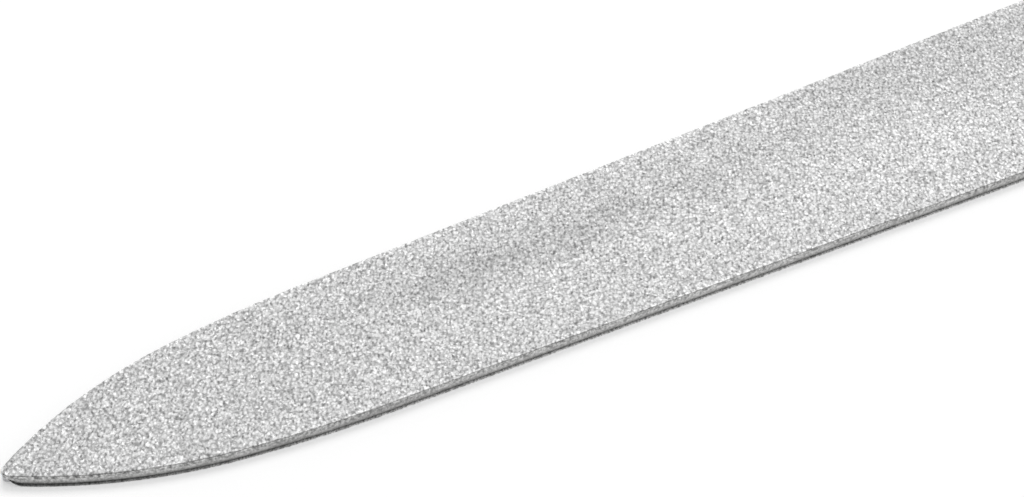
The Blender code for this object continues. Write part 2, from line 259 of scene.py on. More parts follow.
# Tones at the nose and behind the point, and the length of the point
UPPER_RIM = (0.98, 1.18)
# The lower coat's rim, where it meets the table: painted shade at the nose, painted light behind the
# point
LOWER_RIM_SHADE_AND_LIGHT = (0.45, 1.56)
# SPECK_TONES: tones of the dashes of painted shade
SPECK_TONES = (0.52, 0.82)
POINT_SHADE = (0.97, 1.02)
POINT_SHADE_RUN = 0.018

# Dashes of painted shade along a corner: the noise at which they start and are full, their middle
# height and reach on the nickel edge, and the share of that band where they are full
SPECK_RANGE = (0.50, 0.58)
SPECK_BAND = (0.00060, 0.00014)
SPECK_FULL = 0.5

# A darker stretch of the nickel edge: middle and reach along X, the share where it is full, its tone
EDGE_DARK_STRETCH = (-0.0665, 0.0095)
DARK_STRETCH_FULL = 0.6
DARK_STRETCH_TONE = 0.86

# Painted shade on the nickel edge: a painted contact shadow at its foot, up to a top at the nose and
# one behind the point, and a band under the upper coat, with a middle height and a reach
FOOT_SHADE_FULL = 0.00004
FOOT_SHADE_TOPS = (0.00036, 0.00032)
FOOT_SHADE_TONE = 0.46
UPPER_SHADE = (0.00053, 0.00009)
UPPER_SHADE_TONE = 0.86

# Pits in the nickel edge: their tones change between two heights, dark ones and pale ones
PIT_HEIGHTS = (0.0002, 0.0006)
DARK_PITS = (0.82, 0.50)
PALE_PITS = (1.18, 1.50)
NICKEL_PIT_RANGE = (0.36, 0.64)

# The nickel neck behind the coats
NECK_FADE = 0.001
NECK_TONE = 0.74

# The stage: the glow is near and far distance on the floor, and its strength at each
FLOOR_SIZE = 8.0
FLOOR_COLOUR = (0.86, 0.86, 0.86)
FLOOR_GLOW = (0.12, 0.70, 0.28, 0.48)
WHITE = (1.0, 1.0, 1.0, 1.0)
LAMP_PLACE = (0.20, 0.38, 0.50)
LAMP_SIZE = (0.45, 0.30)
CAMERA_TARGET = (-0.051185, 0.00272, 0.00035)
CAMERA_CLIP = (0.01, 20.0)

# How far a cutting shape runs past a face, how close points lie that are welded, and how close
# a point lies to a cutting plane to count as on it
PAST = 0.002
WELD = 1e-6
CUT_WELD = 1e-7


class NailFileSizes(bpy.types.PropertyGroup):
    """Sizes of the fine surface."""

    grain: bpy.props.FloatProperty(
        name="Grain spacing",
        description="Distance between neighbouring crystals of the coats",
        default=0.00014,
        min=0.0001,
        max=0.001,
        precision=5,
        unit="LENGTH",
    )
    relief_upper: bpy.props.FloatProperty(
        name="Upper relief",
        description="How far the upper coat's crystals stand above or below its mean face",
        default=0.000026,
        min=0.0,
        max=0.0001,
        precision=6,
        unit="LENGTH",
    )
    relief_lower: bpy.props.FloatProperty(
        name="Lower relief",
        description="How far the finer lower coat's crystals stand from its mean face",
        default=0.000018,
        min=0.0,
        max=0.0001,
        precision=6,
        unit="LENGTH",
    )
    rim_radius: bpy.props.FloatProperty(
        name="Strip edge radius",
        description="Rounding of the plated strip's edges",
        default=0.00011,
        min=0.0,
        max=0.0002,
        precision=5,
        unit="LENGTH",
    )
    seam_chamfer: bpy.props.FloatProperty(
        name="Seam chamfer",
        description="Width of the small chamfers along the parting line of the handle",
        default=0.00009,
        min=0.0,
        max=0.0002,
        precision=5,
        unit="LENGTH",
    )
    mouth_corner: bpy.props.FloatProperty(
        name="Mouth corner radius",
        description="Rounding of the handle's two front corners, seen from above",
        default=0.0009,
        min=0.0005,
        max=0.002,
        precision=4,
        unit="LENGTH",
    )


class NailFileFinish(bpy.types.PropertyGroup):
    """Colours of the finishes."""

    coarse_grit: bpy.props.FloatVectorProperty(
        name="Coarse grit",
        description="Mean colour of the upper coat of crystals",
        default=(0.476, 0.476, 0.476),
        size=3,
        min=0.0,
        max=1.0,
        subtype="COLOR",
    )
    fine_grit: bpy.props.FloatVectorProperty(
        name="Fine grit",
        description="Mean colour of the lower coat of crystals",
        default=(0.52, 0.52, 0.52),
        size=3,
        min=0.0,
        max=1.0,
        subtype="COLOR",
    )
    nickel: bpy.props.FloatVectorProperty(
        name="Nickel",
        description="Colour of the plated edge and neck",
        default=(0.52, 0.52, 0.515),
        size=3,
        min=0.0,
        max=1.0,
        subtype="COLOR",
    )
    steel: bpy.props.FloatVectorProperty(
        name="Steel",
        description="Colour of the strip inside the plating and of the tang",
        default=(0.46, 0.46, 0.47),
        size=3,
        min=0.0,
        max=1.0,
        subtype="COLOR",
    )
    plastic: bpy.props.FloatVectorProperty(
        name="Handle plastic",
        description="Colour of the moulded shells",
        default=(0.045, 0.048, 0.054),
        size=3,
        min=0.0,
        max=1.0,
        subtype="COLOR",
    )


class NailFileStage(bpy.types.PropertyGroup):
    """Camera and light."""

    elevation: bpy.props.FloatProperty(
        name="Camera elevation",
        description="Height of the camera above the horizon",
        default=math.radians(40.51),
        subtype="ANGLE",
    )
    azimuth: bpy.props.FloatProperty(
        name="Camera azimuth",
        description="Turn of the camera round the file, where 0 looks along Y",
        default=math.radians(-30.02),
        subtype="ANGLE",
    )
    distance: bpy.props.FloatProperty(
        name="Camera distance",
        description="Distance from the camera to the point that it looks at",
        default=0.180,
        unit="LENGTH",
    )
    lens: bpy.props.FloatProperty(
        name="Lens",
        description="Focal length in millimetres",
        default=106.28,
        unit="CAMERA",
    )
    room_level: bpy.props.FloatProperty(
        name="Room level",
        description="Brightness of the room's even light",
        default=0.62,
        min=0.0,
        max=2.0,
    )
    key_power: bpy.props.FloatProperty(
        name="Key light power",
        description="Power of the large soft light above and behind the file",
        default=1.6,
        min=0.0,
        unit="POWER",
    )


def arc(x, y, radius, start, end, steps):
    """Points of an arc that leaves (x, y) with heading start and turns right to heading end."""
    turns = [start + (end - start) * step / steps for step in range(1, steps + 1)]
    return [
        (
            x + radius * (math.sin(start) - math.sin(turn)),
            y + radius * (math.cos(turn) - math.cos(start)),
            turn,
        )
        for turn in turns
    ]


def blade_side(offset, end):
    """One side of the blade from the nose to x = end, moved outwards by offset."""
    points = [(NOSE_X, 0.0, math.pi / 2)]
    turns = (
        (NOSE_RADIUS, NOSE_ANGLE, ARC_STEPS[0]),
        (POINT_RADIUS, BLEND_ANGLE, ARC_STEPS[1]),
        (SHOULDER_RADIUS, TAPER_ANGLE, ARC_STEPS[2]),
    )
    for radius, heading, steps in turns:
        x, y, last = points[-1]
        points += arc(x, y, radius, last, heading, steps)
    x, y, heading = points[-1]
    widest_x = NOSE_X + NOSE_TO_WIDEST
    y += (widest_x - x) * math.tan(TAPER_ANGLE)
    points.append((widest_x, y, heading))
    points += arc(widest_x, y, WIDEST_RADIUS, heading, -NECK_ANGLE, ARC_STEPS[3])
    x, y, heading = points[-1]
    points.append((end, y - (end - x) * math.tan(NECK_ANGLE), heading))
    return [(px - offset * math.sin(turn), py + offset * math.cos(turn)) for px, py, turn in points]


def tang_side(offset, end):
    """One side of the tang from the shoulder to its rounded end, moved outwards by offset."""
    half = TANG_WIDTH / 2 + offset
    corner = TANG_CORNER + offset
    start = end + offset - corner
    bend = arc(start, half, corner, 0.0, -math.pi / 2, ARC_STEPS[0])
    return [(NECK_END, half), (start, half)] + [(x, y) for x, y, _ in bend]


def ease(share):
    """A smooth climb from 0 to 1."""
    return (1 - np.cos(np.pi * np.clip(share, 0.0, 1.0))) / 2


def step_height(x):
    """How far the strip has stepped up at x."""
    return TANG_RISE * ease((x - STEP_START) / STEP_RUN)


def end_rounding(run):
    """How the handle closes behind its belly, from 1 at the belly to 0 at the end."""
    share = np.clip((run - MOUTH_TO_BELLY) / (HANDLE_LENGTH - MOUTH_TO_BELLY), 0.0, 1.0)
    return (1 - share**END_FULLNESS) ** (1 / END_FULLNESS)


def handle_half_width(run):
    """Half width of the handle at a run behind its mouth."""
    mouth = blade_side(0.0, MOUTH_X)[-1][1] + MOUTH_WALL
    waist = WAIST_WIDTH / 2
    belly = BELLY_WIDTH / 2
    narrowing = mouth + (waist - mouth) * ease(run / MOUTH_TO_WAIST)
    climb = ease((run - MOUTH_TO_WAIST) / (MOUTH_TO_BELLY - MOUTH_TO_WAIST))
    swelling = (waist + (belly - waist) * climb) * end_rounding(run)
    return np.where(run < MOUTH_TO_WAIST, narrowing, swelling)


def crown(run):
    """Height of the upper shell above the seam at a run behind the mouth."""
    share = np.clip(run / FRONT_RUN, 0.0, 1.0)
    front = FRONT_HEIGHT + (CROWN_HEIGHT - FRONT_HEIGHT) * np.sqrt(1 - (1 - share) ** 2)
    return front * end_rounding(run)


def front_shift(run, across):
    """How far the bowed front edge moves a point towards the blade."""
    return FRONT_BULGE * (1 - ease(run / MOUTH_TO_WAIST)) * (1 - np.clip(np.abs(across), 0, 1) ** 2)


def crown_section(steps):
    """Even steps along the crown's cross section, as shares of its half width and its height."""
    turn = np.linspace(math.pi, 0.0, CROWN_SAMPLES * steps + 1)
    across = np.sign(np.cos(turn)) * np.abs(np.cos(turn)) ** (2 / CROWN_FULLNESS)
    lift = np.abs(np.sin(turn)) ** (2 / CROWN_FULLNESS)
    travel = np.hypot(np.diff(across) * BELLY_WIDTH / 2, np.diff(lift) * CROWN_HEIGHT)
    travel = np.concatenate([[0.0], np.cumsum(travel)])
    even = np.linspace(0.0, travel[-1], steps + 1)
    return np.interp(even, travel, across), np.interp(even, travel, lift)


def thumb_rest(x, y, z):
    """The crown's height z at (x, y) with the dish pressed in and the cross ribs added."""
    top = SEAM_HEIGHT + crown(REST_MIDDLE - MOUTH_X)
    reach = 1 - ((x - REST_MIDDLE) * 2 / REST_LENGTH) ** 2 - (y * 2 / REST_WIDTH) ** 2
    dish = np.where(reach > 0, top - REST_DEPTH * np.sqrt(np.maximum(reach, 0)), z)
    z = np.minimum(z, dish)
    for number in range(RIB_COUNT):
        away = (number - (RIB_COUNT - 1) / 2) * RIB_SPACING
        depth = REST_DEPTH * math.sqrt(1 - (2 * away / REST_LENGTH) ** 2)
        reach = 1 - ((x - REST_MIDDLE - away) / RIB_RADIUS) ** 2 - (y * 2 / RIB_WIDTH) ** 2
        rib = top - depth + (depth + RIB_PROUD) * np.sqrt(np.maximum(reach, 0))
        z = np.where(reach > 0, np.maximum(z, rib), z)
    return z


def deselect_all():
    """Leave nothing selected, so that the next operator acts only on its own piece."""
    if bpy.context.object and bpy.context.object.mode != "OBJECT":
        bpy.ops.object.mode_set(mode="OBJECT")
    bpy.ops.object.select_all(action="DESELECT")


def activate(piece):
    """Select one piece and make it the active one."""
    deselect_all()
    piece.select_set(True)
    bpy.context.view_layer.objects.active = piece


def edit_mode(kind="VERT"):
    """Enter edit mode to work on vertices, edges or faces."""
    bpy.ops.object.mode_set(mode="EDIT")
    bpy.ops.mesh.select_mode(type=kind)


def edit_all(piece, kind="VERT"):
    """Enter edit mode on a piece with everything selected."""
    activate(piece)
    edit_mode(kind)
    bpy.ops.mesh.select_all(action="SELECT")


def object_mode():
    """Leave edit mode."""
    bpy.ops.object.mode_set(mode="OBJECT")


def read_places(mesh):
    """The places of the mesh's vertices, one row each."""
    places = np.empty(len(mesh.vertices) * 3, np.float32)
    mesh.vertices.foreach_get("co", places)
    return places.reshape(-1, 3).astype(float)


def write_places(mesh, places):
    """Put the mesh's vertices at the given places."""
    mesh.vertices.foreach_set("co", places.astype(np.float32).ravel())
    mesh.update()


def read_flags(items, count):
    """Which of the mesh's items are selected."""
    flags = np.zeros(count, bool)
    items.foreach_get("select", flags)
    return flags


def rim_of(piece):
    """Which vertices lie on the open rim of a piece."""
    edit_all(piece)
    bpy.ops.mesh.region_to_loop()
    object_mode()
    return read_flags(piece.data.vertices, len(piece.data.vertices))


def close_rim(piece):
    """Fill the open flat rim of a piece with one face that points the way its neighbours do."""
    edit_all(piece)
    bpy.ops.mesh.region_to_loop()
    bpy.ops.mesh.edge_face_add()
    object_mode()


def weld(piece):
    """Merge vertices that lie on one another."""
    edit_all(piece)
    bpy.ops.mesh.remove_doubles(threshold=WELD)
    object_mode()


def plain_grid(name, columns, rows):
    """A square grid with a given number of cells each way, one metre across."""
    deselect_all()
    bpy.ops.mesh.primitive_grid_add(
        x_subdivisions=columns, y_subdivisions=rows, size=1, calc_uvs=False
    )
    piece = bpy.context.object
    piece.name = name
    piece.data.name = name
    return piece


def flat_solid(name, side, low, high):
    """A flat solid between two heights, whose outline is side and its mirror image."""
    outline = list(side) + [(x, -y) for x, y in reversed(side) if abs(y) > WELD]
    deselect_all()
    bpy.ops.mesh.primitive_circle_add(vertices=len(outline), fill_type="NGON")
    piece = bpy.context.object
    piece.name = name
    piece.data.name = name
    for vertex, (x, y) in zip(piece.data.vertices, outline):
        vertex.co = (x, y, low)
    edit_all(piece, "FACE")
    bpy.ops.mesh.extrude_region_move(TRANSFORM_OT_translate={"value": (0, 0, high - low)})
    bpy.ops.mesh.select_all(action="SELECT")
    bpy.ops.mesh.normals_make_consistent(inside=False)
    object_mode()
    return piece


def clear_selection(piece, kind):
    """Select nothing of a piece's mesh, and leave it in object mode to be marked."""
    edit_all(piece, kind)
    bpy.ops.mesh.select_all(action="DESELECT")
    object_mode()


def bevel_rim(piece, height, width, segments):
    """Round the outline edges of a flat solid that lie at one height."""
    clear_selection(piece, "EDGE")
    heights = read_places(piece.data)[:, 2]
    for edge in piece.data.edges:
        away = np.abs(heights[list(edge.vertices)] - height)
        edge.select = bool((away < WELD).all())
    edit_mode("EDGE")
    bpy.ops.mesh.bevel(offset=width, segments=segments, profile=0.5, affect="EDGES")
    object_mode()


def cut_across(piece, start, run, cuts):
    """Slice a piece's faces across X in even steps, so that it can be bent there."""
    activate(piece)
    edit_mode()
    for cut in range(cuts + 1):
        bpy.ops.mesh.select_all(action="SELECT")
        bpy.ops.mesh.bisect(
            plane_co=(start + run * cut / cuts, 0, 0), plane_no=(1, 0, 0), threshold=CUT_WELD
        )
    object_mode()


def lift_point(piece, pull=0.0):
    """Ease the point's underside up below the strip's upper face, and pull the nose back."""
    cut_across(piece, NOSE_X, POINT_RUN, POINT_CUTS)
    places = read_places(piece.data)
    share = np.clip(1 - (places[:, 0] - NOSE_X) / POINT_RUN, 0.0, 1.0)
    depth = np.maximum(BLADE_MIDDLE + PLATED_THICKNESS / 2 - places[:, 2], 0.0)
    places[:, 2] += depth * POINT_LIFT * share**2
    places[:, 0] += pull * share**2
    write_places(piece.data, places)


def step_up(piece):
    """Cut a flat solid across its step and lift it into an easy double bend."""
    cut_across(piece, STEP_START, STEP_RUN, STEP_CUTS)
    places = read_places(piece.data)
    places[:, 2] += step_height(places[:, 0])
    write_places(piece.data, places)


def combine(piece, tool, operation):
    """Cut a tool shape out of a piece, or join it on, and remove the tool."""
    activate(piece)
    modifier = piece.modifiers.new(tool.name, "BOOLEAN")
    modifier.operation = operation
    modifier.object = tool
    modifier.solver = "EXACT"
    bpy.ops.object.modifier_apply(modifier=modifier.name)
    bpy.data.objects.remove(tool, do_unlink=True)


def upright_cylinder(name, radius, x, low, high):
    """A closed cylinder between two heights."""
    deselect_all()
    bpy.ops.mesh.primitive_cylinder_add(
        vertices=ROUND_SIDES, radius=radius, depth=high - low, location=(x, 0, (low + high) / 2)
    )
    piece = bpy.context.object
    piece.name = name
    bpy.ops.object.transform_apply(location=True, rotation=True, scale=True)
    return piece


def dress(piece, slot, *nodes):
    """Ride on the file's one body and stand for the given nodes. The slot argument is not used."""
    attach(piece, "root")
    if nodes:
        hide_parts(*nodes)


class Shader:
    """A material with one Principled BSDF and short calls that add nodes to it."""

    def __init__(self, name, colour, roughness, metallic):
        self.material = bpy.data.materials.new(name)
        self.material.use_nodes = True
        self.tree = self.material.node_tree
        self.main = self.tree.nodes["Principled BSDF"]
        self.main.inputs["Base Color"].default_value = (*colour, 1.0)
        self.main.inputs["Roughness"].default_value = roughness
        self.main.inputs["Metallic"].default_value = metallic
        self.object_place = self.add("ShaderNodeTexCoord", {})["Object"]

    def feed(self, socket, value):
        """Link an output to a socket, or set the socket's value."""
        if isinstance(value, bpy.types.NodeSocket):
            self.tree.links.new(value, socket)
        else:
            socket.default_value = value

    def add(self, kind, inputs, **settings):
        """Add a node with the given settings and inputs, and return its outputs."""
        node = self.tree.nodes.new(kind)
        for name, value in settings.items():
            setattr(node, name, value)
        for key, value in inputs.items():
            self.feed(node.inputs[key], value)
        return node.outputs

    def stretch(self, lengths, turn=0.0):
        """Object coordinates that draw a pattern out by three factors, along axes turned about Z."""
        inputs = {"Vector": self.object_place, "Rotation": (0.0, 0.0, turn), "Scale": lengths}
        return self.add("ShaderNodeMapping", inputs, vector_type="TEXTURE")["Vector"]

    def shaken(self, place, size, reach):
        """Coordinates that soft noise has moved about, so that cells lose their order."""
        noise = {"Vector": self.object_place, "Scale": 1 / size}
        shift = self.add("ShaderNodeTexNoise", noise)["Color"]
        inputs = {0: shift, 1: (reach, reach, reach), 2: place}
        return self.add("ShaderNodeVectorMath", inputs, operation="MULTIPLY_ADD")["Vector"]

    def noise(self, size, detail, roughness, place=None):
        """Soft noise whose blots are about size metres wide."""
        inputs = {
            "Vector": place or self.object_place,
            "Scale": 1 / size,
            "Detail": detail,
            "Roughness": roughness,
        }
        return self.add("ShaderNodeTexNoise", inputs)["Fac"]

    def cells(self, size, place):
        """Flat cells about size metres wide: distance from each one's middle, and its own tone."""
        inputs = {"Vector": place, "Scale": 1 / size}
        cell = self.add("ShaderNodeTexVoronoi", inputs, voronoi_dimensions="2D")
        tone = self.add("ShaderNodeSeparateColor", {"Color": cell["Color"]})["Red"]
        return cell["Distance"], tone

    def axis(self, name):
        """One of the object coordinates."""
        return self.add("ShaderNodeSeparateXYZ", {"Vector": self.object_place})[name]

    def attribute(self, name):
        """A number that the mesh holds at each vertex."""
        return self.add("ShaderNodeAttribute", {}, attribute_name=name)["Fac"]

    def maths(self, operation, *values):
        """The result of one sum on values or outputs."""
        return self.add("ShaderNodeMath", dict(enumerate(values)), operation=operation)["Value"]

    def product(self, *values):
        """All values multiplied together."""
        result = values[0]
        for value in values[1:]:
            result = self.maths("MULTIPLY", result, value)
        return result

    def span(self, value, low, high, to_low, to_high):
        """Map a value's range onto another, clamped."""
        names = ("Value", "From Min", "From Max", "To Min", "To Max")
        inputs = dict(zip(names, (value, low, high, to_low, to_high)))
        return self.add("ShaderNodeMapRange", inputs)["Result"]

    def soft_span(self, noise, to_low, to_high):
        """Map the range that soft noise mostly lies in onto another."""
        return self.span(noise, *SOFT_RANGE, to_low, to_high)

    def fade(self, share, tone, full=1.0):
        """A tone that goes from 1 where a share is 0 to the given tone where it is full."""
        return self.span(share, 0.0, full, 1.0, tone)

    def near(self, value, middle, reach):
        """1 where a value is at the middle, falling to 0 at a reach either side."""
        away = self.maths("ABSOLUTE", self.maths("SUBTRACT", value, middle))
        return self.span(away, 0.0, reach, 1.0, 0.0)

    def along_point(self, start, end):
        """A value that runs from one number at the nose to another behind the point."""
        return self.span(self.axis("X"), NOSE_X, NOSE_X + POINT_SHADE_RUN, start, end)

    def shade_dashes(self):
        """1 in small dashes of painted shade along a corner, and 0 between them."""
        return self.span(self.noise(*SPECKS), *SPECK_RANGE, 0.0, 1.0)

    def colour(self, colour, level):
        """Set the colour, made lighter or darker by a level."""
        inputs = {0: colour, "Scale": level}
        tinted = self.add("ShaderNodeVectorMath", inputs, operation="SCALE")["Vector"]
        self.feed(self.main.inputs["Base Color"], tinted)

    def roughness(self, value):
        """Set the roughness."""
        self.feed(self.main.inputs["Roughness"], value)

    def bump(self, height, distance, strength):
        """Raise the surface where the height is large."""
        inputs = {"Strength": strength, "Distance": distance, "Height": height}
        normal = self.add("ShaderNodeBump", inputs)["Normal"]
        self.feed(self.main.inputs["Normal"], normal)


def grit_material(name, colour, crystal, rim_tones, corner_shade_and_patches):
    """Crystals set in nickel: pale domes with painted light on their tops, painted shade in the gaps
    and pits, soft mottling and a toned rim.
    """
    shader = Shader(name, colour, *GRIT_BASE)
    place = shader.stretch(CRYSTAL_DRAW, CRYSTAL_TURN)
    place = shader.shaken(place, crystal * SHAKE_SIZE, crystal * SHAKE_REACH)
    middle, tone = shader.cells(crystal, place)
    spark = shader.cells(crystal * SPARK_WIDTH, place)[1]
    pit, depth = shader.cells(crystal * PIT_WIDTH, place)
    # pits: painted shade in small pits
    pits = shader.span(pit, *PIT_REACH, shader.span(depth, *PIT_DEPTHS), PIT_SURROUND)
    # dome: painted light on each crystal's top and painted shade in the gaps; also the bump's height
    dome = shader.span(middle, *DOME_TONES)
    blots = shader.noise(*BLOTS)
    # rim: on the lower coat, painted shade at the nose and painted light behind the point
    rim = shader.along_point(*rim_tones)
    if corner_shade_and_patches:
        # Dashes of painted shade along the upper coat's rim
        rim = shader.product(rim, shader.fade(shader.shade_dashes(), shader.along_point(*SPECK_TONES)))
    level = shader.product(
        dome,
        pits,
        shader.span(tone, *CELL_TONES),
        shader.span(spark, *SPARK_TONES),
        shader.soft_span(blots, *BLOT_TONES),
        shader.span(shader.attribute("inset_share"), 0.0, 1.0, rim, 1.0),
    )
    # Soft darker and lighter patches on the upper face
    for middle_x, middle_y, reach_x, reach_y, change in PATCHES if corner_shade_and_patches else ():
        along = shader.near(shader.axis("X"), middle_x, reach_x)
        across = shader.near(shader.axis("Y"), middle_y, reach_y)
        patch = shader.product(along, across, shader.soft_span(blots, *PATCH_TONES))
        level = shader.product(level, shader.fade(patch, change))
    shader.colour(colour, level)
    shader.roughness(shader.span(spark, *SPARK_ROUGHNESS))
    shader.bump(dome, crystal * DOME_HEIGHT, CRYSTAL_BUMP)
    return shader.material


def nickel_material(colour):
    """Satin nickel: fine drawn lines, soft stains, and painted shade along the blade's two corners.
    """
    shader = Shader("bright_nickel", colour, *NICKEL_BASE)
    drawn = shader.noise(*NICKEL_LINES, place=shader.stretch(NICKEL_DRAW))
    stains = shader.noise(*NICKEL_STAINS)
    x = shader.axis("X")
    height = shader.axis("Z")
    # Painted contact shadow at the foot of the edge, where it meets the table, fading upwards
    shade_top = shader.along_point(*FOOT_SHADE_TOPS)
    foot = shader.span(height, FOOT_SHADE_FULL, shade_top, FOOT_SHADE_TONE, 1.0)
    # Painted shade in a band under the upper coat's rim
    upper = shader.fade(shader.near(height, *UPPER_SHADE), UPPER_SHADE_TONE)
    # Dashes of painted shade along the upper corner of the nickel edge
    band = shader.product(shader.near(height, *SPECK_BAND), shader.shade_dashes())
    shade_dashes = shader.fade(band, shader.along_point(*SPECK_TONES), SPECK_FULL)
    pits = shader.span(
        shader.noise(*NICKEL_PITS),
        *NICKEL_PIT_RANGE,
        shader.span(height, *PIT_HEIGHTS, *DARK_PITS),
        shader.span(height, *PIT_HEIGHTS, *PALE_PITS),
    )
    # A darker stretch of the edge along X
    dark_stretch = shader.fade(shader.near(x, *EDGE_DARK_STRETCH), DARK_STRETCH_TONE, DARK_STRETCH_FULL)
    shade = shader.along_point(*POINT_SHADE)
    edge = shader.product(foot, upper, shade_dashes, pits, dark_stretch, shade)
    neck_x = UPPER_COAT_HIGH.x
    level = shader.product(
        shader.span(x, neck_x - NECK_FADE, neck_x, edge, NECK_TONE),
        shader.soft_span(drawn, *NICKEL_LINE_TONES),
        shader.soft_span(stains, *NICKEL_STAIN_TONES),
    )
    shader.colour(colour, level)
    shader.roughness(shader.soft_span(stains, *NICKEL_ROUGHNESS))
    shader.bump(drawn, *NICKEL_BUMP)
    return shader.material


def steel_material(colour):
    """Rolled steel with fine lines along the strip."""
    shader = Shader("spring_steel", colour, *STEEL_BASE)
    lines = shader.noise(*STEEL_LINES, place=shader.stretch(STEEL_DRAW))
    shader.colour(colour, shader.soft_span(lines, *STEEL_TONES))
    shader.roughness(shader.soft_span(lines, *STEEL_ROUGHNESS))
    shader.bump(lines, *STEEL_BUMP)
    return shader.material


def plastic_material(colour):
    """Moulded plastic with a fine spark texture, faint flow marks and rubbed patches."""
    shader = Shader("handle_plastic", colour, *PLASTIC_BASE)
    spark = shader.noise(*PLASTIC_SPARK)
    flow = shader.noise(*PLASTIC_FLOW, place=shader.stretch(FLOW_DRAW))
    rub = shader.span(shader.noise(*PLASTIC_RUB), *RUB_ROUGHNESS)
    flow_tone = shader.soft_span(flow, *FLOW_TONES)
    spark_tone = shader.soft_span(spark, *PLASTIC_TONES)
    shader.colour(colour, shader.product(flow_tone, spark_tone))
    grain = shader.soft_span(spark, *PLASTIC_ROUGHNESS)
    shader.roughness(shader.maths("ADD", rub, grain))
    shader.bump(spark, *PLASTIC_BUMP)
    return shader.material


def finish_piece(piece, angle, material):
    """Smooth a piece's faces up to an angle and give it its one material."""
    activate(piece)
    bpy.ops.object.shade_smooth_by_angle(angle=angle)
    piece.data.materials.clear()
    piece.data.materials.append(material)


def face_centres(mesh):
    """The middle of each face, one row each."""
    centres = np.empty(len(mesh.polygons) * 3, np.float32)
    mesh.polygons.foreach_get("center", centres)
    return centres.reshape(-1, 3)


def cut_grid(name, side_x, side_y, end, face, grain):
    """An even grid at the height face, from the nose to x = end, cut to the outline."""
    columns = round((end - side_x[0]) / grain)
    rows = 2 * math.ceil(side_y.max() / grain)
    coat = plain_grid(name, columns, rows)
    places = read_places(coat.data)
    places[:, 0] = side_x[0] + (places[:, 0] + 0.5) * (end - side_x[0])
    places[:, 1] *= rows * grain
    places[:, 2] = face
    write_places(coat.data, places)
    centres = face_centres(coat.data)
    outside = np.abs(centres[:, 1]) > np.interp(centres[:, 0], side_x, side_y)
    clear_selection(coat, "FACE")
    coat.data.polygons.foreach_set("select", outside)
    edit_mode("FACE")
    bpy.ops.mesh.delete(type="FACE")
    object_mode()
    rim = rim_of(coat)
    places = read_places(coat.data)
    sides = np.abs(places[:, 0] - end) > grain / 2
    corners = np.abs(places[:, 1]) > np.interp(end, side_x, side_y) - grain
    moved = rim & (sides | corners)
    reach = np.interp(places[moved, 0], side_x, side_y)
    places[moved, 1] = np.sign(places[moved, 1]) * reach
    write_places(coat.data, places)
    weld(coat)
    return coat


def make_coat(name, high, offset, face, relief, grain, seed):
    """One coat of crystals: an even grid cut to the outline, roughened and closed behind.

    It is made facing up, with its base at 0 and its mean face at the height face.
    """
    side_x, side_y = np.array(blade_side(offset, high.x)).T
    coat = cut_grid(name, side_x, side_y, high.x, face, grain)
    rim = rim_of(coat)
    places = read_places(coat.data)
    draw = np.random.default_rng(seed)
    scatter = draw.uniform(-1, 1, places.shape)
    places[~rim, :2] += scatter[~rim, :2] * grain * CRYSTAL_SCATTER
    places[:, 2] += scatter[:, 2] * np.where(rim, relief * RIM_RELIEF, relief)
    places[rim, 1] += scatter[rim, 1] * relief * RIM_RELIEF
    write_places(coat.data, places)
    edit_all(coat)
    bpy.ops.mesh.quads_convert_to_tris(quad_method="BEAUTY", ngon_method="BEAUTY")
    bpy.ops.mesh.region_to_loop()
    bpy.ops.mesh.extrude_edges_move(TRANSFORM_OT_translate={"value": (0, 0, -face)})
    object_mode()
    base = read_flags(coat.data.vertices, len(coat.data.vertices))
    places = read_places(coat.data)
    places[base, 2] = 0.0
    write_places(coat.data, places)
    inset = np.interp(places[:, 0], side_x, side_y) - np.abs(places[:, 1])
    share = np.where(base, 0.0, np.clip(inset / RIM_REACH, 0.0, 1.0))
    coat.data.attributes.new("inset_share", "FLOAT", "POINT").data.foreach_set("value", share)
    close_rim(coat)
    return coat


def fold_map(coat, low, high):
    """A texture map for a long thin coat: its length is folded into side-by-side strips."""
    pitch = 2 * high.y + 2 * MAP_MARGIN
    length = (high.x - low.x) / MAP_STRIPS
    scale = 1 / max(MAP_STRIPS * pitch, length + 2 * MAP_MARGIN)
    mesh = coat.data
    corners = np.empty(len(mesh.loops), np.int32)
    mesh.loops.foreach_get("vertex_index", corners)
    places = read_places(mesh)[corners]
    totals = np.empty(len(mesh.polygons), np.int32)
    mesh.polygons.foreach_get("loop_total", totals)
    strip = np.clip((face_centres(mesh)[:, 0] - low.x) // length, 0, MAP_STRIPS - 1)
    strip = np.repeat(strip, totals)
    u = (places[:, 0] - low.x - strip * length + MAP_MARGIN) * scale
    v = (places[:, 1] + pitch / 2 + strip * pitch) * scale
    layer = mesh.uv_layers.new(name="OFBake")
    layer.data.foreach_set("uv", np.stack([u, v], 1).astype(np.float32).ravel())


class NAILFILE_OT_steel_core(bpy.types.Operator):
    """Give the steel strip inside the blade its rolled finish"""

    bl_idname = "nail_file.steel_core"
    bl_label = "Steel core"

    def execute(self, context):
        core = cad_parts["steel_core"]
        material = steel_material(context.scene.nail_file_finish.steel)
        for slot in core.material_slots:
            slot.material = material
        if not core.material_slots:
            raise RuntimeError("the steel core has no material slot")
        return {"FINISHED"}


